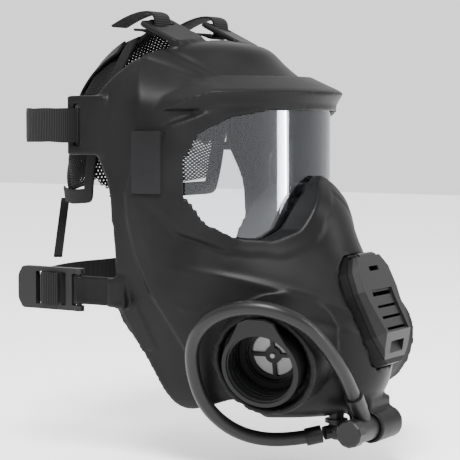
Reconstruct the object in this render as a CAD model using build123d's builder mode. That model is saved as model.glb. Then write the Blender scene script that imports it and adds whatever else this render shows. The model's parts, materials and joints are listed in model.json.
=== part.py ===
"""Full face respirator: rubber face blank, wrap-round visor, two side filter ports, front valve
unit with a louvred cover, nose cup, drinking tube and a mesh head harness.

Millimetres. X runs to the wearer's left, Y to the back of the head, Z up. The origin is in the
middle of the wearer's head, on the mask's plane of symmetry, about level with the nose bridge.
"""

import os
from math import hypot, radians, tan

from build123d import *

# ---------------------------------------------------------------- driving dimensions
WALL = 3.2  # rubber wall of the face blank
LIP = 13.0  # how far the turned-in face seal reaches inwards
REAR = 60.0  # where the bowl's open sections end, behind the head opening

VISOR_R = 78.0  # outer radius of the visor's cylinder
VISOR_T = 2.0
VISOR_Y = 20.6  # the cylinder's axis, behind the origin

PORT_AT = Vector(-72, -64, -70)  # centre of the right port's outer face
PORT_DIR = Vector(-0.955, -0.16, -0.25).normalized()
THREAD_R = 19.1  # crest radius of the 40 mm filter thread
THREAD_ROOT = 20.1
THREAD_PITCH = 3.6
THREAD_TURNS = 5
THREAD_END = 19.0  # depth of the ledge the filter's gasket lies on
CREST_T = 2.2  # thickness of the raised crest at the connector's mouth
LEDGE_R = 14.6
SEAT_OUT_R = 16.6
PORT_R = 22.4  # outside of the connector's barrel
PORT_LEN = 29.0
VALVE_HOLE_R = 12.6
VALVE_DISC_R = 14.2

PORT_WELL_R = 26.5  # rubber well round the connector
PORT_RING_R = 30.0  # outside of the well's rim
PORT_RING_AT = 6.0  # how far the rim sits behind the connector's mouth
PORT_FLOOR = 13.0  # depth of the well's floor
PORT_BACK = 25.0  # depth of the flat face inside, where the nut bears
GAP = 0.2  # usual clearance between fixed pieces

COVER_DIR = Vector(0, -0.927, 0.375).normalized()  # which way the valve housing faces
COVER_AT = Vector(0, -96, -34)
HOUSING_BACK = 20.0
COVER_WALL = 2.6
COVER_BEVEL = (0.78, 0.94)  # the cover's outline 10 mm out, against the housing's
HINGE_UP = 22.3  # the cover's hinge line, up the housing's face
HINGE_OUT = 2.85
HINGE_R = 2.6
PIN_R = 1.0
EAR_IN = 9.3  # the housing's hinge ears run between these along X, on both sides
EAR_OUT = 11.7
LOUVRE_TOP = 2.0  # the louvred field, up the cover
LOUVRE_LOW = -23.0
LOUVRE_W = 25.0
LOUVRE_GAPS = [(-0.4, 2.4), (-8.0, 1.6), (-14.6, 1.6), (-21.4, 1.6)]  # middle and height of each
COVER_SLOT = (14.5, 11.0, 2.8)  # up, width and height
FINGER_RECESS = (-31.4, 16.0, 6.0)
COVER_HOLLOW = [(17, -1), (17, 4.4), (10, 4.5), (-4, 4.7), (-23, 6.3), (-26, 5.0), (-26, -1)]
EAR_NOTCH = [(-2.6, -1), (3, -1), (3, 5.0), (-2.6, 5.0)]  # the cover's clearance round an ear
EAR_FOOT = [(-1.9, -1), (1.9, -1), (1.9, 2.85), (-1.9, 2.85)]  # an ear's foot, up and out from the hinge

DIAPHRAGM_UP = 7.5
DIAPHRAGM_R = 12.5
OUTLET_UP = -20.0
OUTLET_R = 10.5

CLIP_LOW = 25.0
CLIP_HIGH = 60.0
CLIP_W = 17.0
CLIP_T = 3.0

INLET_X = -14.0
INLET_Y = -80.5
INLET_Z = -111.0
INLET_R = 4.4

COUPLING_Y = -98.5
COUPLING_Z = -108.5
COUPLING_LOW = -26.0  # the coupling body runs between these along X
COUPLING_HIGH = 20.0
HOLDER_LOW = -9.0  # and its rubber holder between these
HOLDER_HIGH = 17.0
COUPLING_R = 7.0
HOSE_D = 8.0
HOSE_BORE = 5.0

TAB_X = 72.0  # outside face of the lower strap tabs
TAB_Z = -33.0
TAB_H = 16.5
EYE_Y = 60.0
BUCKLE_L = 38.0
BUCKLE_H = 25.0

BUCKLE_X = 70.4
BUCKLE_T = 4.2

CUP_VALVE_X = 41.0  # outer face of the nose cup's valve seats
CUP_VALVE_Y = -44.0
CUP_VALVE_Z = -46.0
CUP_VALVE_R = 10.0
MOUTH_END = (-10.0, -58.0, -70.0)  # where the drinking tube ends, in front of the mouth

CAP_MID = Vector(0, 20, 35)
CAP_R = (72, 88, 92)
CAP_T = 1.6
WEB_T = 1.6
WEB_LOW = TAB_Z - 9.5  # the nape strap runs between these heights
WEB_HIGH = TAB_Z + 9.5
CAP_SIDE = [(45, 132), (125, 132), (125, 52), (100, 20), (54, 20), (46, 60), (43, 100)]
FOREHEAD_WEB = [(42, 119), (34, 118.4), (27.3, 115.2), (27.3, 127.5), (34, 129.6), (46, 127), (58, 121.5)]

# Half outlines of the face blank, level by level:
# height, half width at the back, where the side turns forward, shoulder x and y, front y
LEVELS = [
    (-103, 48, -14, 34, -58, -80),
    (-98, 54, -12, 40, -67, -93),
    (-88, 59, -10, 45, -73, -101),
    (-73, 63, -8, 47, -74, -105),
    (-56, 67, -8, 48, -72, -105),
    (-38, 71, -8, 48, -67, -99),
    (-20, 75, -6, 47, -60, -91),
    (0, 78, 0, 46, -50, -82),
    (18, 79.6, 5, 48, -45, -74),
    (38, 79.6, 8, 54, -38, -60),
    (60, 79.6, 8, 55, -37, -58.5),
    (76, 78.5, 8, 54, -34, -54),
    (88, 73, 12, 48, -24, -43),
    (100, 63, 18, 38, -13, -30),
    (110, 50, 24, 28, -3, -15),
    (118, 32, 32, 17, 14, 3),
]
CUP_LEVELS = [
    (-88, 22, -50, 15, -59, -74),
    (-82, 33, -42, 26, -66, -86),
    (-66, 40, -38, 30, -64, -92),
    (-45, 40, -34, 28, -58, -86),
    (-22, 36, -30, 22, -50, -78),
    (0, 28, -28, 15, -44, -67),
    (18, 20, -30, 10, -41, -54),
    (30, 12, -33, 6, -38, -43.5),
]
CUP_WALL = 2.0

# The side view of what the blank keeps, as (y, z), from the forehead round the back to the chin
SIDE_VIEW = [
    (-8, 121), (14, 108), (41, 80), (41, 48), (34, 34), (30, 8),
    (31, -24), (32, -46), (22, -62), (9, -88), (0, -99), (-12, -99), (-30, -93), (-48, -92),
]
CUP_SIDE = [(-36, 33), (-25, 8), (-22, -20), (-26, -50), (-36, -74), (-54, -96)]

# Half of the window's outline seen from the front, as (x, z), from the nose to the brow
WINDOW = [(0, 34), (9, 29), (20, 17), (30, 4), (42, -2), (56, 0), (67, 8), (73, 24), (73.5, 42),
          (69, 59), (57, 68), (38, 72)]
BROW = [(40, 40), (66, 46), (76, 56), (79, 66), (74, 78), (62, 86), (44, 95)]  # the brim's outline
GROOVE = 3.7  # how far the visor's edge runs into the rubber
SEAT_R = 72.8  # inner radius of the rubber behind the visor
BEAD_R = 81.5  # outer radius of the rubber in front of the visor
BEAD_W = 8.0
OUTLINE_R = 7.0  # rounding at each corner of the window's and the brim's outlines

# Half outline of the valve housing seen square on, as (x, up), and the cover's profile, (up, out)
HOUSING = [(13, 25), (21, 15), (22.5, 2), (18.5, -24), (13, -37), (9, -40)]
COVER_SIDE = [(22.3, -1), (22.3, 5.9), (19, 6.4), (10, 6.7), (-4, 7), (-23.6, 8.9), (-34, 2.6), (-39, -1)]

# The drinking tube's corners: forward, up and inward of the right port's mouth
HOSE_ROUTE = [
    (42.5, -35.6, 36), (41.5, -14.5, 25.5), (37.5, 6.5, 14), (27, 28, 4), (5.5, 39, -3),
    (-19.5, 35, -5), (-37.9, 17.7, -1), (-43.3, -6.6, 5), (-40, -31, 11), (-24, -49, 17.5),
    (0, -55.5, 27), (19, -53.5, 37),
]


# ---------------------------------------------------------------- helpers
def save(builder, name):
    """Labels a finished sub-part and writes it."""
    builder.part.label = name
    export_step(builder.part, f"parts/{name}.step")


def save_pair(builder, name):
    """Writes a right-hand sub-part and its mirror image as the left-hand one."""
    save(builder, f"{name}_right")
    with BuildPart() as left:
        add(mirror(builder.part, about=Plane.YZ))
    save(left, f"{name}_left")


def normals(levels):
    """The outward direction of the centre line at each level, as (y, z)."""
    found = []
    for i in range(len(levels)):
        low, high = levels[max(i - 1, 0)], levels[min(i + 1, len(levels) - 1)]
        dy, dz = high[5] - low[5], high[0] - low[0]
        found.append((-dz / hypot(dy, dz), dy / hypot(dy, dz)))
    return found


def bowl(levels, inset):
    """A bowl through the level outlines as a solid, its skin moved inwards by inset."""
    with BuildPart(mode=Mode.PRIVATE) as shape:
        for level, (ny, nz) in zip(levels, normals(levels)):
            z, w, side_y, xs, ys, front = level
            w = w - inset
            xs = xs - 0.7 * inset
            ys = ys - 0.7 * inset * ny
            front = front - inset * ny
            with BuildSketch(Plane.XY.offset(z - inset * nz)):
                with BuildLine():
                    half = [(w, REAR), (w, side_y), (xs, ys), (0, front)]
                    pts = half + [(-x, y) for x, y in reversed(half[:-1])]
                    Spline(*pts, tangents=[(0, -1), (0, 1)])
                    Line(pts[-1], pts[0])
                make_face()
        loft()
    return shape.part


def front_prism(points, grow, back=14.0):
    """Everything in front of y = back inside a symmetric outline, given by its right half from
    the bottom to the top and grown all round."""
    loop = points + [(-x, z) for x, z in reversed(points) if x]
    grown = []
    for i, (x, z) in enumerate(loop):
        before, after = loop[i - 1], loop[(i + 1) % len(loop)]
        ex, ez = after[0] - before[0], after[1] - before[1]
        grown.append(Vector(x + grow * ez / hypot(ex, ez), z - grow * ex / hypot(ex, ez)))
    start = (grown[-1] + grown[0]) / 2
    path = [start] + grown + [start]
    corner_radii = [0] + [min(OUTLINE_R, r) for r in turn_radii(path)]
    with BuildPart(mode=Mode.PRIVATE) as prism:
        with BuildSketch(Plane.XZ.offset(-back)):
            with BuildLine():
                FilletPolyline(*path, radius=corner_radii)
            make_face()
        extrude(amount=180)
    return prism.part


def side_prism(rear, inset):
    """Everything in front of a rear edge seen from the side, the edge moved inwards by inset."""
    moved = []
    for i, (y, z) in enumerate(rear):
        before, after = rear[max(i - 1, 0)], rear[min(i + 1, len(rear) - 1)]
        ey, ez = after[0] - before[0], after[1] - before[1]
        run = hypot(ey, ez)
        moved.append((y + inset * ez / run, z - inset * ey / run))
    with BuildPart(mode=Mode.PRIVATE) as prism:
        with BuildSketch(Plane.YZ):
            with BuildLine():
                edge = Spline(*moved)
                Polyline(edge @ 1, (moved[-1][0], -130), (-140, -130), (-140, 140),
                         (moved[0][0], 140), edge @ 0)
            make_face()
        extrude(amount=120, both=True)
    return prism.part


def visor_tube(outer, inner, low=-20, high=90):
    """A stretch of tube on the visor's own axis."""
    with BuildPart(mode=Mode.PRIVATE) as tube:
        with BuildSketch(Plane.XY.offset(low)):
            with Locations((0, VISOR_Y)):
                Circle(outer)
                if inner:
                    Circle(inner, mode=Mode.SUBTRACT)
        extrude(amount=high - low)
    return tube.part


def port_plane(depth):
    """The plane square to the right port's axis, depth behind its mouth, y upwards."""
    across = Vector(0, 0, 1).cross(PORT_DIR).normalized()
    return Plane(PORT_AT - PORT_DIR * depth, x_dir=across, z_dir=PORT_DIR)


def port_ring(outer, inner, start, end):
    """A ring on the right port's axis between two depths."""
    with BuildPart(mode=Mode.PRIVATE) as ring:
        with BuildSketch(port_plane(end)):
            Circle(outer)
            if inner:
                Circle(inner, mode=Mode.SUBTRACT)
        extrude(amount=end - start)
    return ring.part


def housing_plane(out):
    """The plane of the valve housing's face, moved out along its own direction."""
    return Plane(COVER_AT + COVER_DIR * out, x_dir=(1, 0, 0), z_dir=COVER_DIR)


def housing_prism(grow, start, end):
    """The housing's outline, grown all round, between two distances out from its face."""
    with BuildPart(mode=Mode.PRIVATE) as prism:
        with BuildSketch(housing_plane(start)):
            Polygon(*HOUSING, *[(-x, y) for x, y in reversed(HOUSING)], align=None)
            fillet(vertices(), 3.0)
            if grow:
                offset(amount=grow)
        extrude(amount=end - start)
    return prism.part


def spider(plane, outer, hole, hub, thick, arms=4, arm_w=2.0, bore=1.6):
    """A valve seat: a flat ring, a hub and the arms between them."""
    with BuildPart() as seat:
        with BuildSketch(plane):
            Circle(outer)
            Circle(hole, mode=Mode.SUBTRACT)
            Circle(hub)
            with PolarLocations((hub + hole) / 2, arms):
                Rectangle(hole - hub + 2, arm_w)
            Circle(bore, mode=Mode.SUBTRACT)
        extrude(amount=thick)
    return seat


def disc_valve(plane, radius, thick, stem_r, stem_len):
    """A rubber valve disc with the short stem that guides it through its seat's hub."""
    with BuildPart() as disc:
        with BuildSketch(plane):
            Circle(radius)
        extrude(amount=-thick)
        with BuildSketch(plane):
            Circle(stem_r)
        extrude(amount=stem_len)
    return disc


def slotted_tab(length, width, slot_at, slot_l):
    """A flat rubber strap tab with a slot across it."""
    with BuildPart(mode=Mode.PRIVATE) as tab:
        Box(width, length, WALL)
        fillet(tab.edges().filter_by(Axis.Z), 4)
        with Locations((0, slot_at, 0)):
            Box(slot_l, 4.5, WALL * 3, mode=Mode.SUBTRACT)
    return tab.part


def cover_point(up, out):
    """A point of the cover's profile as (y, z)."""
    point = COVER_AT + COVER_DIR * out + Vector(0, COVER_DIR.Z, -COVER_DIR.Y) * up
    return (point.Y, point.Z)


def turn_radii(points):
    """The bend radius at each inner corner of a route, from its shorter run and its turn."""
    radii = []
    for a, b, c in zip(points, points[1:], points[2:]):
        run_in, run_out = b - a, c - b
        half_turn = run_in.get_angle(run_out) / 2
        radii.append(0.45 * min(run_in.length, run_out.length) / tan(radians(half_turn)))
    return radii


def rod(start, end, radius, bore=0.0):
    """A straight rod or sleeve between two points."""
    with BuildPart(mode=Mode.PRIVATE) as bar:
        with BuildSketch(Plane(start, z_dir=end - start)):
            Circle(radius)
            if bore:
                Circle(bore, mode=Mode.SUBTRACT)
        extrude(amount=(end - start).length)
    return bar.part


def web(points, low, high, radius=3.0):
    """A band of webbing standing on edge along a route seen from above."""
    with BuildPart() as band:
        with BuildSketch(Plane.XY.offset(low)):
            with BuildLine():
                FilletPolyline(*points, radius=radius)
            trace(line_width=WEB_T)
        extrude(amount=high - low)
    return band


os.makedirs("parts", exist_ok=True)

# ---------------------------------------------------------------- face blank
outer_bowl = bowl(LEVELS, 0)
inner_bowl = bowl(LEVELS, WALL)
port_boss = port_ring(PORT_RING_R, 0, PORT_RING_AT, PORT_BACK + 6)
with BuildPart() as boss_cone:
    with BuildSketch(port_plane(46)):
        Circle(PORT_RING_R + 5)
    with BuildSketch(port_plane(PORT_RING_AT + 4)):
        Circle(PORT_RING_R)
    loft()
    add(port_boss)
seat_pad = port_ring(PORT_WELL_R + 3, 0, PORT_FLOOR, PORT_BACK)
port_cut = port_ring(PORT_WELL_R, 0, -2, PORT_FLOOR)
barrel_hole = port_ring(PORT_R + GAP, 0, -2, PORT_BACK + 8)

with BuildPart() as brim:
    with BuildSketch(Plane.XZ.offset(-VISOR_Y)):
        Polygon((74, 71.8), (80, 71.8), (85.5, 81.5), (83, 83.5), (66, 91.5), (62, 88), (66, 78), align=None)
    revolve(axis=Axis((0, VISOR_Y, 0), (0, 0, 1)), revolution_arc=360)
    add(front_prism(BROW, 0, back=4.0), mode=Mode.INTERSECT)

visor_slot = visor_tube(VISOR_R + GAP, VISOR_R - VISOR_T - GAP)
with BuildPart() as slot_cut:
    add(visor_slot)
    add(front_prism(WINDOW, GROOVE, back=30), mode=Mode.INTERSECT)

with BuildPart() as rim_band:
    add(bowl(LEVELS, -0.6))
    add(visor_tube(BEAD_R, 0, -14, 84))
    add(front_prism(WINDOW, BEAD_W), mode=Mode.INTERSECT)
    add(front_prism(WINDOW, -0.5, back=30), mode=Mode.SUBTRACT)
    add(visor_tube(SEAT_R, 0, -60, 110), mode=Mode.SUBTRACT)
    add(slot_cut.part, mode=Mode.SUBTRACT)

with BuildPart() as brow:
    add(brim.part)
    add(slot_cut.part, mode=Mode.SUBTRACT)

with BuildPart() as lip:
    add(bowl(LEVELS, 1.0))
    add(side_prism(SIDE_VIEW, 0), mode=Mode.INTERSECT)
    add(side_prism(SIDE_VIEW, 3.0), mode=Mode.SUBTRACT)
    add(bowl(LEVELS, WALL + LIP), mode=Mode.SUBTRACT)

nut_pocket = port_ring(PORT_R + 6.4, 0, PORT_BACK, PORT_BACK + 25)

with BuildPart() as holder:
    with BuildSketch(Plane.YZ.offset(HOLDER_LOW)):
        with Locations((COUPLING_Y, COUPLING_Z)):
            Circle(COUPLING_R + 2.2)
        with Locations((COUPLING_Y + 6, COUPLING_Z + 9)):
            Rectangle(14, 13)
    extrude(amount=HOLDER_HIGH - HOLDER_LOW)

with BuildPart() as temple_tab:
    with Locations((-76.8, 39, 63)):
        Box(7.6, 10, 34)
    with Locations((-79.0, 49.5, 63)):
        Box(WALL, 21, 34)
    with Locations((-79.0, 54, 63)):
        Box(10, 4.5, 24, mode=Mode.SUBTRACT)

with BuildPart() as lower_tab:
    with Locations((-71.0, 30, TAB_Z)):
        Box(11, 12, TAB_H)
    with Locations((-TAB_X + WALL / 2, 46, TAB_Z)):
        Box(WALL, 28, TAB_H)
    with Locations((-TAB_X + WALL / 2, EYE_Y, TAB_Z)):
        Cylinder(3.4, TAB_H)
        Cylinder(1.7, TAB_H * 2, mode=Mode.SUBTRACT)

forehead_tab = slotted_tab(30, 29, 8, 19).moved(Location((-32, 20, 117.5), (26, -6, 0)))

with BuildPart() as face_blank:
    add(outer_bowl)
    add(boss_cone.part)
    add(mirror(boss_cone.part, about=Plane.YZ))
    add(inner_bowl, mode=Mode.SUBTRACT)
    for pad in (seat_pad, mirror(seat_pad, about=Plane.YZ)):
        add(pad)
    add(side_prism(SIDE_VIEW, 0), mode=Mode.INTERSECT)
    add(housing_prism(GAP, -HOUSING_BACK - 20, 30), mode=Mode.SUBTRACT)
    for cut in (port_cut, barrel_hole, nut_pocket):
        add(cut, mode=Mode.SUBTRACT)
        add(mirror(cut, about=Plane.YZ), mode=Mode.SUBTRACT)
    add(front_prism(WINDOW, BEAD_W - 1.5), mode=Mode.SUBTRACT)
    add(lip.part)
    add(rim_band.part)
    add(brow.part)
    add(holder.part)
    for tab in (temple_tab.part, lower_tab.part, forehead_tab):
        add(tab)
        add(mirror(tab, about=Plane.YZ))
    with Locations((0, COUPLING_Y, COUPLING_Z)):
        Cylinder(COUPLING_R + GAP, 120, rotation=(0, 90, 0), mode=Mode.SUBTRACT)
    with Locations((INLET_X, INLET_Y, -104)):
        Cylinder(INLET_R + GAP, 30, mode=Mode.SUBTRACT)
save(face_blank, "face_blank")

# ---------------------------------------------------------------- visor and its side clips
with BuildPart() as visor:
    add(visor_tube(VISOR_R, VISOR_R - VISOR_T))
    add(front_prism(WINDOW, GROOVE - 0.5, back=18), mode=Mode.INTERSECT)
save(visor, "visor")

with BuildPart() as side_clip:
    with BuildSketch(Plane.XY.offset(CLIP_LOW)):
        with Locations((0, VISOR_Y)):
            Circle(BEAD_R + CLIP_T + GAP)
            Circle(BEAD_R + GAP, mode=Mode.SUBTRACT)
        with Locations((-BEAD_R, 4)):
            Rectangle(60, CLIP_W, mode=Mode.INTERSECT)
    extrude(amount=CLIP_HIGH - CLIP_LOW)
save_pair(side_clip, "side_clip")

# ---------------------------------------------------------------- filter ports
with BuildPart() as connector:
    add(port_ring(PORT_R, THREAD_ROOT, 0, THREAD_END + 3))
    with BuildSketch(port_plane(CREST_T)):
        Circle(PORT_R)
        Polygon((-10, 27), (-5, 29), (5, 29), (10, 27), (21, 7), (-21, 7), align=None)
        Circle(THREAD_ROOT, mode=Mode.SUBTRACT)
    extrude(amount=CREST_T)
    for turn in range(THREAD_TURNS):
        start = 1.2 + turn * THREAD_PITCH
        add(port_ring(THREAD_ROOT + 0.5, THREAD_R, start, start + THREAD_PITCH / 2))
    add(port_ring(PORT_R, LEDGE_R, THREAD_END, THREAD_END + 2))
    add(port_ring(PORT_R, SEAT_OUT_R + GAP, THREAD_END + 2, PORT_LEN))
save_pair(connector, "filter_connector")

with BuildPart() as gasket:
    add(port_ring(THREAD_R - 0.3, LEDGE_R + 0.6, THREAD_END - 1.6, THREAD_END - 0.05))
save_pair(gasket, "inlet_gasket")

inlet_seat = spider(port_plane(THREAD_END + 4.1), SEAT_OUT_R, VALVE_HOLE_R, 4.8, 2.0)
save_pair(inlet_seat, "inlet_seat")
inlet_valve = disc_valve(port_plane(THREAD_END + 4.2), VALVE_DISC_R, 0.8, 1.4, 3.0)
save_pair(inlet_valve, "inlet_valve")

with BuildPart() as nut:
    with BuildSketch(port_plane(PORT_BACK + 2.8)):
        Circle(PORT_R + 4.6)
        Circle(PORT_R + GAP, mode=Mode.SUBTRACT)
        with PolarLocations(PORT_R + 4.6, 8):
            Rectangle(2.4, 5, mode=Mode.SUBTRACT)
    extrude(amount=2.6)
save_pair(nut, "connector_nut")

# ---------------------------------------------------------------- front valve unit
with BuildPart() as housing:
    add(housing_prism(0, -HOUSING_BACK, 0))
    for up, radius in ((DIAPHRAGM_UP, DIAPHRAGM_R), (OUTLET_UP, OUTLET_R)):
        with BuildSketch(housing_plane(0)):
            with Locations((0, up)):
                Circle(radius + 1.6)
        extrude(amount=-6, mode=Mode.SUBTRACT)
        with BuildSketch(housing_plane(0)):
            with Locations((0, up)):
                Circle(radius - 1.8)
        extrude(amount=-HOUSING_BACK, mode=Mode.SUBTRACT)
    with BuildSketch(housing_plane(-6)):
        with Locations((0, OUTLET_UP)):
            Circle(3.6)
            with PolarLocations((OUTLET_R + 1) / 2, 4):
                Rectangle(OUTLET_R - 1, 2)
            Circle(1.6, mode=Mode.SUBTRACT)
    extrude(amount=-2)
    for side in (-1, 1):
        with BuildSketch(Plane.YZ.offset(side * (EAR_IN + EAR_OUT) / 2)):
            with Locations(cover_point(HINGE_UP, HINGE_OUT)):
                Circle(HINGE_R - 0.7)
            with BuildLine():
                Polyline(*[cover_point(HINGE_UP + u, o) for u, o in EAR_FOOT], close=True)
            make_face()
        extrude(amount=(EAR_OUT - EAR_IN) / 2, both=True)
    with BuildSketch(Plane.YZ):
        with Locations(cover_point(HINGE_UP, HINGE_OUT)):
            Circle(PIN_R)
    extrude(amount=EAR_OUT, both=True)
save(housing, "valve_housing")

with BuildPart() as outlet_valve:
    with BuildSketch(housing_plane(-5.9)):
        with Locations((0, OUTLET_UP)):
            Circle(OUTLET_R)
    extrude(amount=0.9)
    with BuildSketch(housing_plane(-5.5)):
        with Locations((0, OUTLET_UP)):
            Circle(1.4)
    extrude(amount=-3)
save(outlet_valve, "outlet_valve")

with BuildPart() as diaphragm:
    with BuildSketch(housing_plane(-5.95)):
        with Locations((0, DIAPHRAGM_UP)):
            Circle(DIAPHRAGM_R + 1)
    extrude(amount=0.6)
    with BuildSketch(housing_plane(-5.35)):
        with Locations((0, DIAPHRAGM_UP)):
            for radius in (2.5, 4.5):
                Circle(radius + 0.5)
                Circle(radius - 0.5, mode=Mode.SUBTRACT)
    extrude(amount=0.4)
save(diaphragm, "speech_diaphragm")

with BuildPart() as diaphragm_ring:
    with BuildSketch(housing_plane(-4.9)):
        with Locations((0, DIAPHRAGM_UP)):
            Circle(DIAPHRAGM_R + 1.4)
            Circle(DIAPHRAGM_R - 2, mode=Mode.SUBTRACT)
            with PolarLocations((DIAPHRAGM_R - 2) / 2, 3):
                Rectangle(DIAPHRAGM_R, 1.6)
    extrude(amount=3)
save(diaphragm_ring, "diaphragm_ring")

cover_outline = housing_prism(-0.3, 0.25, 24)
cover_inside = housing_prism(-0.3 - COVER_WALL, -1, 24)
with BuildPart() as cover_bevel:
    for out, wide, tall in ((3, 1, 1), (10, *COVER_BEVEL)):
        with BuildSketch(housing_plane(out)):
            half = [(x * wide, y * tall) for x, y in HOUSING]
            Polygon(*half, *[(-x, y) for x, y in reversed(half)], align=None)
    loft(ruled=True)
    add(housing_prism(0.5, 0, 3))

with BuildPart() as cover_hollow:
    with BuildSketch(Plane.YZ):
        with BuildLine():
            Polyline(*[cover_point(up, out) for up, out in COVER_HOLLOW], close=True)
        make_face()
    extrude(amount=60, both=True)
    add(cover_inside, mode=Mode.INTERSECT)

with BuildPart() as louvre_field:
    with BuildSketch(Plane.YZ):
        with BuildLine():
            Polyline(cover_point(LOUVRE_TOP, 20), cover_point(LOUVRE_TOP, 5.7), cover_point(-4, 5.9),
                     cover_point(LOUVRE_LOW, 7.6), cover_point(LOUVRE_LOW, 20), close=True)
        make_face()
    extrude(amount=LOUVRE_W / 2, both=True)

with BuildPart() as front_cover:
    with BuildSketch(Plane.YZ):
        with BuildLine():
            Polyline(*[cover_point(up, out) for up, out in COVER_SIDE], close=True)
        make_face()
    extrude(amount=60, both=True)
    add(cover_outline, mode=Mode.INTERSECT)
    add(cover_bevel.part, mode=Mode.INTERSECT)
    add(cover_hollow.part, mode=Mode.SUBTRACT)
    add(louvre_field.part, mode=Mode.SUBTRACT)
    with BuildSketch(housing_plane(0)):
        for up, height in LOUVRE_GAPS:
            with Locations((0, up)):
                Rectangle(LOUVRE_W - 1, height)
        with Locations((0, COVER_SLOT[0])):
            Rectangle(COVER_SLOT[1], COVER_SLOT[2])
    extrude(amount=20, mode=Mode.SUBTRACT)
    with BuildSketch(housing_plane(2.2)):
        with Locations((0, FINGER_RECESS[0])):
            Rectangle(FINGER_RECESS[1], FINGER_RECESS[2])
    extrude(amount=20, mode=Mode.SUBTRACT)
    with BuildSketch(Plane.YZ):
        with Locations(cover_point(HINGE_UP, HINGE_OUT)):
            Circle(HINGE_R)
    extrude(amount=EAR_IN - 0.3, both=True)
    for side in (-1, 1):
        with BuildSketch(Plane.YZ.offset(side * (EAR_IN + EAR_OUT) / 2)):
            with BuildLine():
                Polyline(*[cover_point(HINGE_UP + up, out) for up, out in EAR_NOTCH], close=True)
            make_face()
        extrude(amount=(EAR_OUT - EAR_IN) / 2 + 0.3, both=True, mode=Mode.SUBTRACT)
    with BuildSketch(Plane.YZ):
        with Locations(cover_point(HINGE_UP, HINGE_OUT)):
            Circle(PIN_R + GAP)
    extrude(amount=EAR_OUT + 1, both=True, mode=Mode.SUBTRACT)
save(front_cover, "front_cover")

# ---------------------------------------------------------------- nose cup and its check valves
with BuildPart() as nose_cup:
    add(bowl(CUP_LEVELS, 0))
    with Locations((-CUP_VALVE_X + 4, CUP_VALVE_Y, CUP_VALVE_Z), (CUP_VALVE_X - 4, CUP_VALVE_Y, CUP_VALVE_Z)):
        Cylinder(CUP_VALVE_R + 3, 8, rotation=(0, 90, 0))
    add(bowl(CUP_LEVELS, CUP_WALL), mode=Mode.SUBTRACT)
    add(side_prism(CUP_SIDE, 0), mode=Mode.INTERSECT)
    add(housing_prism(GAP, -HOUSING_BACK - 12, 10), mode=Mode.SUBTRACT)
    with Locations((0, CUP_VALVE_Y, CUP_VALVE_Z)):
        Cylinder(CUP_VALVE_R + GAP, 120, rotation=(0, 90, 0), mode=Mode.SUBTRACT)
    add(rod(Vector(INLET_X, INLET_Y, -96), Vector(*MOUTH_END), INLET_R + 1.0), mode=Mode.SUBTRACT)
save(nose_cup, "nose_cup")

cup_plane = Plane((-CUP_VALVE_X, CUP_VALVE_Y, CUP_VALVE_Z), x_dir=(0, 1, 0), z_dir=(1, 0, 0))
cup_seat = spider(cup_plane, CUP_VALVE_R, CUP_VALVE_R - 2.4, 3.2, 1.6, bore=1.3)
save_pair(cup_seat, "cup_seat")
cup_valve = disc_valve(Plane((-CUP_VALVE_X + 1.7, CUP_VALVE_Y, CUP_VALVE_Z), x_dir=(0, 1, 0), z_dir=(-1, 0, 0)),
                       CUP_VALVE_R - 1.4, 0.8, 1.1, 2.4)
save_pair(cup_valve, "cup_valve")

# ---------------------------------------------------------------- drinking tube
forward, port_up = port_plane(0).x_dir, port_plane(0).y_dir
route = [PORT_AT + forward * x + port_up * y - PORT_DIR * d for x, y, d in HOSE_ROUTE]
radii = turn_radii(route)
with BuildPart() as drinking_tube:
    with BuildLine() as path:
        FilletPolyline(*route, radius=radii)
    tube_line = path.wires()[0]
    with BuildSketch(Plane(tube_line @ 0, z_dir=tube_line % 0)):
        Circle(HOSE_D / 2)
        Circle(HOSE_BORE / 2, mode=Mode.SUBTRACT)
    sweep()
save(drinking_tube, "drinking_tube")
section = 3.14159 * (HOSE_D ** 2 - HOSE_BORE ** 2) / 4
print("tube radii", [round(r, 1) for r in radii], "length", round(tube_line.length, 1),
      "volume ratio", round(drinking_tube.part.volume / (section * tube_line.length), 4))
print("tube route", [tuple(round(c, 2) for c in (p.X, p.Y, p.Z)) for p in route])

start_dir = (route[1] - route[0]).normalized()
end_dir = (route[-1] - route[-2]).normalized()
with BuildPart() as tube_sleeve:
    add(rod(route[0] + start_dir * 0.2, route[0] + start_dir * 10.5, HOSE_D / 2 + 1.3, HOSE_D / 2 + 0.1))
save(tube_sleeve, "tube_sleeve")
with BuildPart() as tube_ferrule:
    add(rod(route[-1] - end_dir * 9.5, route[-1] - end_dir * 0.2, HOSE_D / 2 + 1.1, HOSE_D / 2 + 0.1))
save(tube_ferrule, "tube_ferrule")

with BuildPart() as coupling_body:
    with Locations(((COUPLING_LOW + COUPLING_HIGH) / 2, COUPLING_Y, COUPLING_Z)):
        Cylinder(COUPLING_R, COUPLING_HIGH - COUPLING_LOW, rotation=(0, 90, 0))
    add(rod(route[0] - start_dir * 9.5, route[0] - start_dir * 0.1, HOSE_D / 2 + 1.0))
    with Locations(((COUPLING_LOW + COUPLING_HIGH) / 2, COUPLING_Y, COUPLING_Z)):
        Cylinder(3.0, 80, rotation=(0, 90, 0), mode=Mode.SUBTRACT)
save(coupling_body, "coupling_body")

with BuildPart() as coupling_cap:
    with BuildSketch(Plane.YZ.offset(COUPLING_LOW - 8)):
        with Locations((COUPLING_Y, COUPLING_Z)):
            RegularPolygon(COUPLING_R + 0.9, 12)
    extrude(amount=7.8)
    chamfer(coupling_cap.faces().sort_by(Axis.X)[0].edges(), 0.9)
    with Locations((COUPLING_LOW + 2, COUPLING_Y, COUPLING_Z)):
        Cylinder(2.94, 8, rotation=(0, 90, 0))
save(coupling_cap, "coupling_cap")

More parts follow.
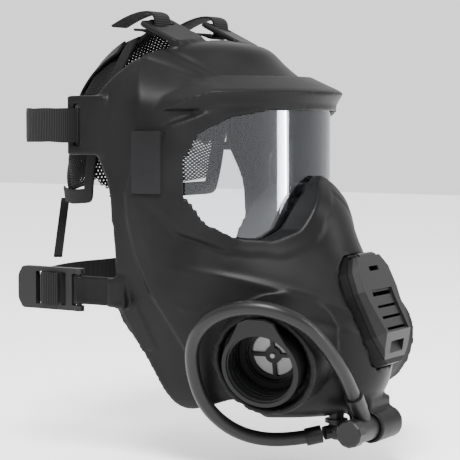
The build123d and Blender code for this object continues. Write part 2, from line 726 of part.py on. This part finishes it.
inlet_mid = Vector(INLET_X, INLET_Y, INLET_Z)
with BuildPart() as chin_inlet:
    with Locations(inlet_mid):
        Sphere(INLET_R + 1.2)
    add(rod(inlet_mid, route[-1] + end_dir * 1.4, HOSE_D / 2))
    add(rod(inlet_mid, Vector(INLET_X, INLET_Y, -95), INLET_R))
    with Locations((INLET_X, INLET_Y, -105.2)):
        Cylinder(INLET_R + 2.2, 2)
save(chin_inlet, "chin_inlet")

with BuildPart() as mouthpiece:
    add(rod(Vector(INLET_X, INLET_Y, -92.0), Vector(*MOUTH_END), INLET_R - 1.0))
save(mouthpiece, "mouthpiece")

# ---------------------------------------------------------------- buckles
with BuildPart() as buckle:
    with BuildSketch(Plane.YZ.offset(-BUCKLE_X - BUCKLE_T / 2)):
        with Locations((EYE_Y + 3.9 + BUCKLE_L / 2, TAB_Z)):
            RectangleRounded(BUCKLE_L, BUCKLE_H, 3.0)
            with Locations((BUCKLE_L / 2 - 6, 0)):
                RectangleRounded(16, BUCKLE_H, 7.5)
        for at, width in ((EYE_Y + 10, 3.2), (EYE_Y + 17, 4.6), (EYE_Y + 26.5, 8.0)):
            with Locations((at, TAB_Z)):
                Rectangle(width, BUCKLE_H - 5.6, mode=Mode.SUBTRACT)
    extrude(amount=BUCKLE_T)
    for side in (-1, 1):
        with Locations((-BUCKLE_X, EYE_Y + 3.2, TAB_Z + side * (BUCKLE_H - 3.2) / 2)):
            Box(BUCKLE_T, 6.4, 3.2)
        with Locations((-BUCKLE_X, EYE_Y, TAB_Z + side * (BUCKLE_H - 3.2) / 2)):
            Cylinder(3.0, 3.2)
    with Locations((-BUCKLE_X, EYE_Y, TAB_Z)):
        Cylinder(1.62, BUCKLE_H - 1)
save_pair(buckle, "buckle")

# ---------------------------------------------------------------- harness
with BuildPart() as cap:
    Sphere(1)
    scale(by=CAP_R)
with BuildPart() as cap_inside:
    Sphere(1)
    scale(by=tuple(r - CAP_T for r in CAP_R))
with BuildPart() as head_cap:
    add(cap.part.moved(Location(CAP_MID)))
    add(cap_inside.part.moved(Location(CAP_MID)), mode=Mode.SUBTRACT)
    with BuildSketch(Plane.YZ):
        Polygon(*CAP_SIDE, align=None)
        fillet(vertices(), 8)
    extrude(amount=100, both=True, mode=Mode.INTERSECT)
save(head_cap, "head_cap")

temple_strap = web([(-70.5, 66), (-74, 54), (-81.8, 53.8), (-83, 60), (-80, 88), (-76, 92), (-73, 86), (-64.5, 72)],
                   53, 73, radius=1.4)
save_pair(temple_strap, "temple_strap")

with BuildPart() as forehead_strap:
    with BuildSketch(Plane.YZ.offset(-40)):
        with BuildLine():
            FilletPolyline(*FOREHEAD_WEB, radius=1.4)
        trace(line_width=WEB_T)
    extrude(amount=16)
save_pair(forehead_strap, "forehead_strap")

with BuildPart() as side_strap:
    with BuildLine() as strap_path:
        Line((-24, 105.5, 17), (-62, 82, -15))
    strap_line = strap_path.wires()[0]
    with BuildSketch(Plane(strap_line @ 0, x_dir=(0.53, -0.85, 0), z_dir=strap_line % 0)):
        Rectangle(5, WEB_T)
    sweep()
save_pair(side_strap, "side_strap")

nape_end = web([(-75.6, 72), (-75.6, 84), (-70.4, 86.5), (-65.6, 89), (-62.06, 91.61)], WEB_LOW, WEB_HIGH, radius=1.4)
save_pair(nape_end, "nape_end")

nape_half = [(-61.78, 91.82), (-48, 102), (0, 108)]
nape_strap = web(nape_half + [(-x, y) for x, y in reversed(nape_half[:-1])], WEB_LOW, WEB_HIGH, radius=1.4)
save(nape_strap, "nape_strap")
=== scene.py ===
"""Full face respirator: the looks and the soft pieces, in metres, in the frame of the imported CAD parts."""
import json
import math

import bpy
import numpy as np
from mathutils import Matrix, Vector


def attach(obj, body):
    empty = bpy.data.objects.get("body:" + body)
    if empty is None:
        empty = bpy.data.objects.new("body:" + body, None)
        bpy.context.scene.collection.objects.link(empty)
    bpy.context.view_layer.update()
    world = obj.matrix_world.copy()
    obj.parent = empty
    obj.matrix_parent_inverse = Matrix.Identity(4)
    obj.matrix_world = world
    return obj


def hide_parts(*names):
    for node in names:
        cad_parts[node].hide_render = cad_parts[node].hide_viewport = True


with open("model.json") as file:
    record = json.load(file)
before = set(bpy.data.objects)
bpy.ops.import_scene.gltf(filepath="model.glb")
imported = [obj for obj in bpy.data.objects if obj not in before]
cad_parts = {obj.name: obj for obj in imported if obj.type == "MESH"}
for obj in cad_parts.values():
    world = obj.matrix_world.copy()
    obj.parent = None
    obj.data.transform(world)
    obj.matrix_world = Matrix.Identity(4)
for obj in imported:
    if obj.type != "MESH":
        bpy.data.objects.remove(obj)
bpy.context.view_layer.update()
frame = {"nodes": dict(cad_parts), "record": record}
NODES = frame["nodes"]
MM = 0.001
TINY = 1e-12  # keeps a division away from zero
SIDES = (("right", -1), ("left", 1))  # the wearer's right is at -X


# ------------------------------------------------------------------ mesh helpers
def arrays_of(obj):
    """Vertices and triangles of an object's own mesh, with vertices that agree to a micrometre merged."""
    me = obj.data
    me.calc_loop_triangles()
    co = np.zeros(len(me.vertices) * 3)
    me.vertices.foreach_get("co", co)
    tri = np.zeros(len(me.loop_triangles) * 3, int)
    me.loop_triangles.foreach_get("vertices", tri)
    co = co.reshape(-1, 3)
    _, first, back = np.unique(np.round(co, 6), axis=0, return_index=True, return_inverse=True)
    tri = back.reshape(-1)[tri].reshape(-1, 3)
    keep = (tri[:, 0] != tri[:, 1]) & (tri[:, 1] != tri[:, 2]) & (tri[:, 2] != tri[:, 0])
    return co[first], tri[keep]


def new_mesh(name, verts, faces, sharp=None):
    """A smooth mesh object in the scene. Edges steeper than sharp, in degrees, stay sharp."""
    me = bpy.data.meshes.new(name)
    me.from_pydata([tuple(v) for v in verts], [], [tuple(int(i) for i in f) for f in faces])
    me.validate()
    me.polygons.foreach_set("use_smooth", [True] * len(me.polygons))
    if sharp:
        me.set_sharp_from_angle(angle=math.radians(sharp))
    obj = bpy.data.objects.new(name, me)
    bpy.context.scene.collection.objects.link(obj)
    return obj


def evaluated(obj):
    """The mesh that an object's modifiers make, as vertices and polygons."""
    dg = bpy.context.evaluated_depsgraph_get()
    me = bpy.data.meshes.new_from_object(obj.evaluated_get(dg))
    co = np.zeros(len(me.vertices) * 3)
    me.vertices.foreach_get("co", co)
    faces = np.array([list(p.vertices) for p in me.polygons])
    bpy.data.meshes.remove(me)
    return co.reshape(-1, 3), faces


def remeshed(name, verts, faces, voxel):
    """A closed mesh made even by voxels, as vertices and quads."""
    obj = new_mesh(name + "_voxels", verts, faces)
    mod = obj.modifiers.new("remesh", "REMESH")
    mod.mode = "VOXEL"
    mod.voxel_size = voxel
    mod.adaptivity = 0.0
    co, quads = evaluated(obj)
    bpy.data.objects.remove(obj)
    return co, quads


def edges_of(quads):
    """The edges of the quads, each one once, as pairs of vertices."""
    e = np.concatenate([quads[:, [i, (i + 1) % 4]] for i in range(4)])
    return np.unique(np.sort(e, 1), axis=0)


def relax(co, quads, rounds, strength=0.5, shrink=-0.53, weight=None):
    """Evens out a mesh: each round smooths it, then pushes it back so that it doesn't shrink."""
    e = edges_of(quads)
    count = np.bincount(e.ravel(), minlength=len(co))[:, None]
    for _ in range(rounds):
        for amount in (strength, shrink):
            total = np.stack([np.bincount(e[:, 0], co[e[:, 1], k], len(co))
                              + np.bincount(e[:, 1], co[e[:, 0], k], len(co)) for k in range(3)], 1)
            move = amount * (total / count - co)
            co = co + (move if weight is None else move * weight)
    return co


def normals_of(co, quads):
    """The unit normal at each vertex, from the quads round it."""
    a, b, c, d = (co[quads[:, i]] for i in range(4))
    n = np.cross(c - a, d - b)
    out = np.zeros_like(co)
    for i in range(4):
        for k in range(3):
            out[:, k] += np.bincount(quads[:, i], n[:, k], len(co))
    return out / np.maximum(np.linalg.norm(out, axis=1, keepdims=True), TINY)


def step(x, width):
    """0 where x is well below zero and 1 well above it, with a smooth step of that width between."""
    t = np.clip(x / width + 0.5, 0, 1)
    return t * t * (3 - 2 * t)


def bump_at(x, width):
    """1 where x is zero, falling off smoothly to both sides."""
    return np.exp(-(x / width) ** 2)


def inside(poly, px, py):
    """Which of the points (px, py) lie inside a polygon."""
    hit = np.zeros(px.shape, bool)
    for (x0, y0), (x1, y1) in zip(poly, np.roll(poly, -1, 0)):
        cross = (y0 > py) != (y1 > py)
        hit ^= cross & (px < (x1 - x0) * (py - y0) / (y1 - y0 + TINY) + x0)
    return hit


def chaikin(p):
    """Rounds the corners of a polyline once."""
    q = [p[0]]
    for a, b in zip(p[:-1], p[1:]):
        q += [0.75 * a + 0.25 * b, 0.25 * a + 0.75 * b]
    q.append(p[-1])
    return np.array(q)


def band(points, ups, width, thick, name, rounds=3):
    """A closed strap along points, its width along ups, both one 3-vector per point.

    Its UV layer "along" holds the length along the strap and the way round it, in millimetres.
    """
    points, ups = np.array(points, float), np.array(ups, float)
    for _ in range(rounds):
        points = chaikin(points)
        ups = chaikin(ups)
    ups /= np.linalg.norm(ups, axis=1, keepdims=True)
    tangent = np.gradient(points, axis=0)
    side = np.cross(tangent, ups)
    side /= np.linalg.norm(side, axis=1, keepdims=True)
    across = np.linspace(-0.5, 0.5, 9)
    rows = []
    for face, order in ((-1, across[::-1]), (1, across)):
        for a in order:
            edge = 0.75 if abs(a) == 0.5 else 1.0  # the strap is thinner at its two edges
            rows.append(points + ups * width * a + side * (thick / 2 * face) * edge)
    grid = np.stack(rows, 1)
    n, m = grid.shape[:2]
    faces = [(i * m + j, i * m + (j + 1) % m, (i + 1) * m + (j + 1) % m, (i + 1) * m + j)
             for i in range(n - 1) for j in range(m)]
    faces.append(tuple(range(m)))
    faces.append(tuple((n - 1) * m + j for j in reversed(range(m))))
    obj = new_mesh(name, grid.reshape(-1, 3), faces, sharp=50)
    uv = obj.data.uv_layers.new(name="along")
    along = np.concatenate([[0], np.cumsum(np.linalg.norm(np.diff(points, axis=0), axis=1))])
    for poly in obj.data.polygons:
        for li, vi in zip(poly.loop_indices, poly.vertices):
            uv.data[li].uv = (along[vi // m] / MM, (vi % m) / m * width / MM)
    return obj


# ------------------------------------------------------------------ materials
def add(tree, kind, **inputs):
    """A new shader node with some inputs set, where From_Min stands for the input "From Min"."""
    node = tree.nodes.new("ShaderNode" + kind)
    for name, value in inputs.items():
        node.inputs[name.replace("_", " ")].default_value = value
    return node


def material(name, base, rough, grain=900.0, bump=0.15, patch=0.12, spec=0.5, dust=None):
    """A plain moulded finish: fine grain, slow changes of tone and gloss, and a little dust."""
    mat = bpy.data.materials.new(name)
    mat.use_nodes = True
    nt = mat.node_tree
    link = nt.links.new
    bsdf = nt.nodes["Principled BSDF"]
    bsdf.inputs["Specular IOR Level"].default_value = spec
    coord = add(nt, "TexCoord")
    fine = add(nt, "TexNoise", Scale=grain, Detail=4.0)
    slow = add(nt, "TexNoise", Scale=28.0, Detail=3.0)
    for tex in (fine, slow):
        link(coord.outputs["Object"], tex.inputs["Vector"])

    # colour: from the base towards the dust with the grain, then lighter and darker in slow patches
    mix = add(nt, "Mix")
    mix.data_type = "RGBA"
    mix.inputs[6].default_value = (*base, 1)  # inputs 6 and 7 are the two colours, output 2 the result
    dusty = dust or tuple(min(1, c * 1.5 + 0.004) for c in base)
    mix.inputs[7].default_value = (*dusty, 1)
    weight = add(nt, "Math")
    weight.operation = "MULTIPLY"
    weight.inputs[1].default_value = 0.35
    link(fine.outputs["Fac"], weight.inputs[0])
    link(weight.outputs[0], mix.inputs[0])
    tone = add(nt, "MapRange", From_Min=0.3, From_Max=0.7, To_Min=1.0 - patch, To_Max=1.0 + patch)
    link(slow.outputs["Fac"], tone.inputs["Value"])
    scale = add(nt, "VectorMath")
    scale.operation = "SCALE"
    link(mix.outputs[2], scale.inputs[0])
    link(tone.outputs["Result"], scale.inputs["Scale"])
    link(scale.outputs[0], bsdf.inputs["Base Color"])

    # gloss and relief
    gloss = add(nt, "MapRange", From_Min=0.3, From_Max=0.7, To_Min=rough - 0.05, To_Max=rough + 0.07)
    link(slow.outputs["Fac"], gloss.inputs["Value"])
    link(gloss.outputs["Result"], bsdf.inputs["Roughness"])
    bumps = add(nt, "Bump", Strength=bump, Distance=0.0003)
    link(fine.outputs["Fac"], bumps.inputs["Height"])
    link(bumps.outputs["Normal"], bsdf.inputs["Normal"])
    return mat


def woven(name, base, pitch):
    """Webbing with ribs across it, pitch millimetres apart by its "along" UV layer, and a fine weave."""
    wave_period = 0.314  # of Blender's wave texture at scale 1: 2 pi / 20
    mat = material(name, base, 0.75, grain=2600.0, bump=0.4, patch=0.2, spec=0.07)
    nt = mat.node_tree
    link = nt.links.new
    bsdf = nt.nodes["Principled BSDF"]
    bsdf.inputs["Sheen Weight"].default_value = 0.05
    uv = add(nt, "UVMap")
    uv.uv_map = "along"
    wave = add(nt, "TexWave", Scale=wave_period / pitch, Distortion=0.4, Detail=1.0)
    wave.wave_type = "BANDS"
    wave.bands_direction = "X"
    link(uv.outputs["UV"], wave.inputs["Vector"])
    weave = bsdf.inputs["Normal"].links[0].from_node
    ribs = add(nt, "Bump", Strength=0.6, Distance=0.0005)
    link(wave.outputs["Fac"], ribs.inputs["Height"])
    link(weave.outputs["Normal"], ribs.inputs["Normal"])
    link(ribs.outputs["Normal"], bsdf.inputs["Normal"])
    return mat


def clear(name):
    """Clear polycarbonate: see-through, with reflections that grow at a slant."""
    mat = bpy.data.materials.new(name)
    mat.use_nodes = True
    nt = mat.node_tree
    link = nt.links.new
    nt.nodes.remove(nt.nodes["Principled BSDF"])
    see = add(nt, "BsdfTransparent", Color=(0.94, 0.955, 0.97, 1))
    shine = add(nt, "BsdfGlossy", Color=(0.95, 0.97, 1.0, 1))
    coord = add(nt, "TexCoord")
    smudge = add(nt, "TexNoise", Scale=18.0)
    link(coord.outputs["Object"], smudge.inputs["Vector"])
    rough = add(nt, "MapRange", To_Min=0.02, To_Max=0.09)
    link(smudge.outputs["Fac"], rough.inputs["Value"])
    link(rough.outputs["Result"], shine.inputs["Roughness"])
    fresnel = add(nt, "Fresnel", IOR=1.5)
    mix = add(nt, "MixShader")
    link(fresnel.outputs["Fac"], mix.inputs[0])
    link(see.outputs[0], mix.inputs[1])
    link(shine.outputs[0], mix.inputs[2])
    link(mix.outputs[0], nt.nodes["Material Output"].inputs["Surface"])
    return mat


RUBBER = material("rubber_look", (0.0035, 0.0035, 0.0037), 0.42, grain=1500, bump=0.12, patch=0.35,
                  spec=0.09, dust=(0.011, 0.011, 0.0115))
CUP = material("cup_look", (0.003, 0.003, 0.0035), 0.2, grain=700, bump=0.03, spec=0.3)
CLIP = material("clip_look", (0.006, 0.006, 0.0065), 0.5, grain=600, bump=0.5, patch=0.35, spec=0.1)
PORT = material("port_look", (0.003, 0.003, 0.0033), 0.38, grain=1200, bump=0.08, spec=0.16)
COVER = material("cover_look", (0.006, 0.006, 0.0064), 0.36, grain=1500, bump=0.08, spec=0.18)
BUCKLE = material("buckle_look", (0.006, 0.006, 0.0064), 0.4, grain=1300, bump=0.1, spec=0.2)
COUPLING = material("coupling_look", (0.005, 0.005, 0.0054), 0.4, grain=1100, bump=0.1, spec=0.2)
HOSE = material("hose_look", (0.004, 0.004, 0.0043), 0.34, grain=1300, bump=0.06, spec=0.22)
SOFT = material("soft_look", (0.003, 0.003, 0.0033), 0.65, grain=1500, bump=0.1, spec=0.1)
MEMBRANE = material("membrane_look", (0.2, 0.2, 0.2), 0.35, grain=500, bump=0.05, patch=0.1, spec=0.2)
METAL = material("metal_look", (0.4, 0.4, 0.42), 0.35, grain=900, bump=0.1)
METAL.node_tree.nodes["Principled BSDF"].inputs["Metallic"].default_value = 1.0
MESH = material("mesh_look", (0.003, 0.003, 0.0033), 0.8, grain=3500, bump=0.5, spec=0.08)
BINDING = material("binding_look", (0.003, 0.003, 0.0033), 0.75, grain=2400, bump=0.5, patch=0.3, spec=0.1)
WEB = woven("webbing_look", (0.0025, 0.0025, 0.0028), 1.3)
CLEAR = clear("visor_look")
BY_SLOT = {"blank_rubber": RUBBER, "cup_rubber": CUP, "clip_plastic": CLIP, "port_plastic": PORT,
           "cover_plastic": COVER, "buckle_plastic": BUCKLE, "coupling_plastic": COUPLING,
           "hose_rubber": HOSE, "soft_rubber": SOFT, "valve_membrane": MEMBRANE,
           "diaphragm_metal": METAL, "mesh_fabric": MESH, "webbing": WEB, "clear_visor": CLEAR}
SLOT_OF = {s["node"]: s["material_slot"] for s in frame["record"]["subparts"]}


def dress(obj, mat, body="mask"):
    """Gives a piece its look and the body that it rides on."""
    obj.data.materials.clear()
    obj.data.materials.append(mat)
    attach(obj, body)
    return obj


CAD_CREASE = 32  # degrees: an edge of a CAD part that turns by more than this stays sharp
for name, node in NODES.items():
    node.data.materials.clear()
    node.data.materials.append(BY_SLOT[SLOT_OF[name]])
    node.data.polygons.foreach_set("use_smooth", [True] * len(node.data.polygons))
    node.data.set_sharp_from_angle(angle=math.radians(CAD_CREASE))

# ------------------------------------------------------------------ face blank
BLANK_VOXEL = 0.0012
RIDGE = np.array([(12, 62), (14, 41), (18.9, 25), (18.2, 10), (14.5, -10), (7.4, -31), (-3.9, -51),
                  (-11, -64), (-16, -76)]) * MM  # the rear edge of the raised cheek in side view, as y and z
PAD = np.array([(31, -40), (19, -37), (7.7, -65), (18.8, -66.5)]) * MM  # the pad behind it, likewise
RIDGE_LIFT = 0.0016
PAD_LIFT = 0.0008
TOP_GROOVE = 0.0007
CHEEK_FOLD = 0.0009


def blank_relief(co, n):
    """How far the relief stands out of the blank at each vertex, and which vertices are on a pad."""
    x, y, z = co.T
    ahead = np.interp(-z, -RIDGE[:, 1], RIDGE[:, 0]) - y  # how far each vertex is in front of the ridge
    outer = (np.abs(n[:, 0]) > 0.5) * (np.sign(n[:, 0]) == np.sign(x))
    side = step(np.abs(x) - 0.046, 0.02) * outer
    fade = step(z + 0.07, 0.02) * (1 - step(z - 0.056, 0.02))
    front_of = step(ahead, 0.0028) * (1 - step(ahead - 0.03, 0.05))
    lift = RIDGE_LIFT * side * fade * front_of
    on_pad = inside(PAD, y, z) & (side > 0.5)
    lift += PAD_LIFT * on_pad
    dome = step(z - 0.088, 0.01) * (n[:, 2] > 0.1)
    for height, slope in ((0.098, 0.35), (0.106, 0.5)):
        lift -= TOP_GROOVE * dome * bump_at(z - height - slope * (y - 0.01), 0.0016)
    cheek = step(np.abs(x) - 0.02, 0.01) * step(-0.018 - z, 0.01) * step(z + 0.075, 0.02) * (n[:, 1] < -0.2)
    for height, slope in ((-0.03, 0.5), (-0.047, 0.28)):
        lift += CHEEK_FOLD * cheek * bump_at(z - height - slope * (np.abs(x) - 0.045), 0.0028)
    return lift, on_pad


co, quads = remeshed("blank", *arrays_of(NODES["face_blank"]), BLANK_VOXEL)
co = relax(co, quads, 16)
n = normals_of(co, quads)
lift, on_pad = blank_relief(co, n)
co = relax(co + n * lift[:, None], quads, 1, weight=np.where(on_pad, 0.3, 1.0)[:, None])
blank = new_mesh("rubber_blank", co, quads)
dress(blank, RUBBER)
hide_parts("face_blank")

# ------------------------------------------------------------------ nose cup
CUP_VOXEL = 0.0011
co, quads = remeshed("cup", *arrays_of(NODES["nose_cup"]), CUP_VOXEL)
cup = new_mesh("soft_cup", relax(co, quads, 5), quads)
dress(cup, CUP)
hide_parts("nose_cup")

# ------------------------------------------------------------------ drinking tube
ROUTE = [
    (-21.82, -98.69, -95.47), (-37.22, -100.25, -77.67), (-54.04, -99.01, -60.21),
    (-70.62, -91.15, -41.89), (-83.57, -71.52, -32.99), (-88.63, -47.01, -37.36),
    (-83.58, -27.51, -53.11), (-72.75, -20.22, -75.14), (-60.46, -21.51, -97.27),
    (-47.17, -35.51, -113.07), (-32.53, -57.39, -116.99), (-20.34, -74.61, -112.55)]
curve = bpy.data.curves.new("tube", "CURVE")
curve.dimensions = "3D"
curve.bevel_depth = 0.004
curve.bevel_resolution = 8
curve.resolution_u = 16
curve.use_fill_caps = True
line = curve.splines.new("NURBS")
line.points.add(len(ROUTE) - 1)
for point, at in zip(line.points, ROUTE):
    point.co = (*(c * MM for c in at), 1)
line.order_u = 3
line.use_endpoint_u = True
line.use_smooth = True
tube = bpy.data.objects.new("soft_tube", curve)
bpy.context.scene.collection.objects.link(tube)
dress(tube, HOSE)
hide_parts("drinking_tube")

# ------------------------------------------------------------------ head cap
# The cap lies on an ellipsoid. MID is its middle and RAD its three half axes.
MID = np.array([0, 20, 35]) * MM
RAD = np.array([72, 88, 92]) * MM
CAP_SIDE = np.array([(45, 132), (125, 132), (125, 52), (100, 20), (54, 20), (46, 60),
                     (43, 100)]) * MM  # the cap's outline in side view, as y and z
CAP_INSET = 0.0012  # the mesh lies this far inside the ellipsoid
CELL = 0.0025  # from the middle of one cell of the mesh to the next
HOLE_SHARE = 0.24  # the radius of a cell's hole, as a share of CELL
CAP_ACROSS = 0.11  # how far to each side of the top cells are tried
CAP_BACK = 0.16  # how far behind the top cells are tried
SAME_CORNER = 1e-5  # outer corners of cells that agree to this are one vertex


def cap_point(s, t):
    """A point of the cap: s across and t backwards from the top, in metres along the skull."""
    phi, theta = s / RAD[0], t / ((RAD[1] + RAD[2]) / 2)
    unit = np.stack([np.sin(phi), np.cos(phi) * np.sin(theta), np.cos(phi) * np.cos(theta)], -1)
    ripple = (np.sin(s * 190 + 2.1 * np.sin(t * 70)) * np.sin(t * 150 + 1.7) * 0.0011
              + np.sin(s * 95 + t * 60) * 0.0012)
    return MID + unit * (RAD - CAP_INSET + ripple[..., None])


def hex_sheet(pitch, hole, outline):
    """Hexagonal cells with a hole in each, over the part of the cap inside an outline in side view."""
    dy = pitch * math.sqrt(3) / 2
    columns = range(int(-CAP_ACROSS / pitch), int(CAP_ACROSS / pitch))
    cells = np.array([(i * pitch + (j % 2) * pitch / 2, j * dy)
                      for j in range(-2, int(CAP_BACK / dy)) for i in columns])
    mids = cap_point(cells[:, 0], cells[:, 1])
    cells = cells[inside(outline, mids[:, 1], mids[:, 2])]
    ring = np.arange(6) * math.pi / 3 + math.pi / 6
    outer = pitch / math.sqrt(3)
    s = np.concatenate([cells[:, :1] + outer * np.cos(ring), cells[:, :1] + hole * np.cos(ring)], 1)
    t = np.concatenate([cells[:, 1:] + outer * np.sin(ring), cells[:, 1:] + hole * np.sin(ring)], 1)
    keys = np.round(np.stack([s, t], -1) / SAME_CORNER).astype(int)
    pts = cap_point(s, t)
    verts, faces, index = [], [], {}
    for c in range(len(cells)):
        ids = []
        for k in range(12):
            key = tuple(keys[c, k]) if k < 6 else (c, k, 0)
            if key not in index:
                index[key] = len(verts)
                verts.append(pts[c, k])
            ids.append(index[key])
        for k in range(6):
            m = (k + 1) % 6
            faces.append((ids[k], ids[m], ids[6 + m], ids[6 + k]))
    return verts, faces


cap = new_mesh("cap_mesh", *hex_sheet(CELL, CELL * HOLE_SHARE, CAP_SIDE))
thick = cap.modifiers.new("thickness", "SOLIDIFY")
thick.thickness = 0.0006
thick.offset = 0
dress(cap, MESH)
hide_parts("head_cap")


def side_point(side, y, z):
    """The ellipsoid's surface beyond a point of its side view, on the left (1) or the right (-1)."""
    u, w = (y - MID[1]) / RAD[1], (z - MID[2]) / RAD[2]
    return np.array([side * math.sqrt(max(0.0, 1 - u * u - w * w)) * RAD[0], y, z])


def top_point(side, x, y):
    """The ellipsoid's surface above a point of its plan, x from the middle to the left or the right."""
    u, w = x / RAD[0], (y - MID[1]) / RAD[1]
    return np.array([side * x, y, MID[2] + math.sqrt(max(0.0, 1 - u * u - w * w)) * RAD[2]])


def cap_band(name, place, side, route, width, thick, out, mat):
    """A strip along a route on the cap. place puts its points on the ellipsoid, and out lifts them."""
    corners = np.array(route)
    at = np.linspace(0, len(corners) - 1, 8 * (len(corners) - 1) + 1)
    fine = [np.interp(at, np.arange(len(corners)), corners[:, k]) for k in range(2)]
    pts = np.array([place(side, *p) for p in zip(*fine)])
    away = (pts - MID) / RAD ** 2
    away /= np.linalg.norm(away, axis=1, keepdims=True)
    pts = pts + away * out
    across = np.cross(np.gradient(pts, axis=0), away)
    across /= np.linalg.norm(across, axis=1, keepdims=True)
    obj = dress(band(pts, across, width, thick, name, rounds=1), mat)


BINDINGS = [  # three strips on each side of the cap, in side view: front edge, lower edge, middle
    [(0.047, 0.058), (0.045, 0.080), (0.044, 0.1), (0.046, 0.113)],
    [(0.050, 0.055), (0.056, 0.022), (0.075, 0.0205), (0.096, 0.0215)],
    [(0.056, 0.052), (0.07, 0.066), (0.082, 0.076), (0.094, 0.08)]]
CROWN = [(0.032, 0.056), (0.031, 0.070), (0.026, 0.084), (0.018, 0.096)]  # in plan
for side, sx in SIDES:
    for k, route in enumerate(BINDINGS):
        cap_band(f"cap_binding_{side}_{k}", side_point, sx, route, 0.0085, 0.0014, 0.0009, BINDING)
    cap_band(f"crown_web_{side}", top_point, sx, CROWN, 0.0155, 0.0015, 0.0010, WEB)

# ------------------------------------------------------------------ webbing
# Each route is for the left side or the middle, in millimetres.
UP = (0, 0, 1)
WEB_THICK = 0.0016
TEMPLE_HEIGHT = 0.063
NAPE_HEIGHT = -0.033
FOREHEAD_X = 0.032
TEMPLE_LOOP = [(66, 70), (71.5, 60), (74, 54.2), (78, 53.9), (81.5, 54.2), (83, 60), (82, 74),
               (80.5, 86), (78.6, 91.5), (76, 91.8), (74, 88), (71, 80), (65, 71)]
NAPE_END = [(75.6, 72), (75.6, 83), (74.4, 85), (70.4, 86.5), (65.6, 89), (62.06, 91.61)]
NAPE_HALF = [(61.78, 91.82), (55, 96.9), (45, 102.9), (24, 106.2)]
NAPE_MIDDLE = (0, 107.6)
FOREHEAD_FOLD = [(42, 119), (36, 118.6), (27.3, 115.2), (26.6, 121), (27.3, 127.5), (34, 129.6),
                 (46, 127), (58, 121.5)]  # in side view, as y and z


def mirrored(route, sx):
    """A plan route on the side that sx says."""
    return [(sx * px, py) for px, py in route]


def strap(name, node, plan, height, width, body="mask"):
    """A strap on edge along a plan route, in place of its CAD node. It waves a little up and down."""
    wave = 0.0004
    pts = [(px * MM, py * MM, height + wave * math.sin(k * 2.3)) for k, (px, py) in enumerate(plan)]
    obj = band(pts, [UP] * len(pts), width, WEB_THICK, name)
    dress(obj, WEB, body)
    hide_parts(node)


def forehead_web(side, sx):
    """The strap that folds through the forehead buckle of one side, its width across the head."""
    pts = [(sx * FOREHEAD_X, py * MM, pz * MM) for py, pz in FOREHEAD_FOLD]
    over = band(pts, [(1, 0, 0)] * len(pts), 0.0158, WEB_THICK, f"forehead_web_{side}")
    dress(over, WEB)
    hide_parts(f"forehead_strap_{side}")


for side, sx in SIDES:
    strap(f"temple_web_{side}", f"temple_strap_{side}", mirrored(TEMPLE_LOOP, sx), TEMPLE_HEIGHT,
          0.0195)
    strap(f"nape_web_{side}", f"nape_end_{side}", mirrored(NAPE_END, sx), NAPE_HEIGHT,
          0.019, body=f"buckle_{side}")
    forehead_web(side, sx)
strap("nape_web", "nape_strap", [*mirrored(NAPE_HALF, -1), NAPE_MIDDLE, *reversed(NAPE_HALF)],
      NAPE_HEIGHT, 0.019)

# ------------------------------------------------------------------ floor, light and camera
FLOOR_Z = -0.135
FLOOR_HALF = 3  # half the floor's side
backdrop = material("backdrop", (0.93, 0.93, 0.93), 0.6, grain=30, bump=0.0, patch=0.01,
                    dust=(0.95, 0.95, 0.95))
corners = [(-FLOOR_HALF, -FLOOR_HALF), (FLOOR_HALF, -FLOOR_HALF), (FLOOR_HALF, FLOOR_HALF),
           (-FLOOR_HALF, FLOOR_HALF)]
floor = new_mesh("floor", [(px, py, FLOOR_Z) for px, py in corners], [(0, 1, 2, 3)])
floor.data.materials.append(backdrop)
glow = backdrop.node_tree.nodes["Principled BSDF"]
glow.inputs["Emission Color"].default_value = (1, 1, 1, 1)
glow.inputs["Emission Strength"].default_value = 0.6
world = bpy.data.worlds.new("studio")
world.use_nodes = True
world.node_tree.nodes["Background"].inputs["Color"].default_value = (1, 1, 1, 1)
world.node_tree.nodes["Background"].inputs["Strength"].default_value = 1.4
bpy.context.scene.world = world


def area_light(name, at, aim, size, power):
    """A rectangular lamp of a size in metres, at a place and turned towards a point."""
    data = bpy.data.lights.new(name, "AREA")
    data.shape = "RECTANGLE"
    data.size, data.size_y = size
    data.energy = power
    lamp = bpy.data.objects.new(name, data)
    lamp.location = at
    lamp.rotation_euler = (Vector(aim) - Vector(at)).to_track_quat("-Z", "Y").to_euler()
    bpy.context.scene.collection.objects.link(lamp)


area_light("key", at=(-0.9, -0.5, 1.3), aim=(0, -0.02, 0.02), size=(0.6, 0.6), power=75)
area_light("fill", at=(0.5, -1.5, 0.4), aim=(0, -0.05, 0), size=(0.3, 1.2), power=22)

AZ, EL, DIST = math.radians(-58), math.radians(4), 1.0
cam_data = bpy.data.cameras.new("camera")
cam_data.sensor_width = 36
cam_data.lens = 130.4
camera = bpy.data.objects.new("camera", cam_data)
camera.location = (DIST * math.sin(AZ) * math.cos(EL), -DIST * math.cos(AZ) * math.cos(EL),
                   DIST * math.sin(EL))
camera.rotation_euler = (-camera.location).to_track_quat("-Z", "Y").to_euler()
bpy.context.scene.collection.objects.link(camera)
bpy.context.scene.camera = camera
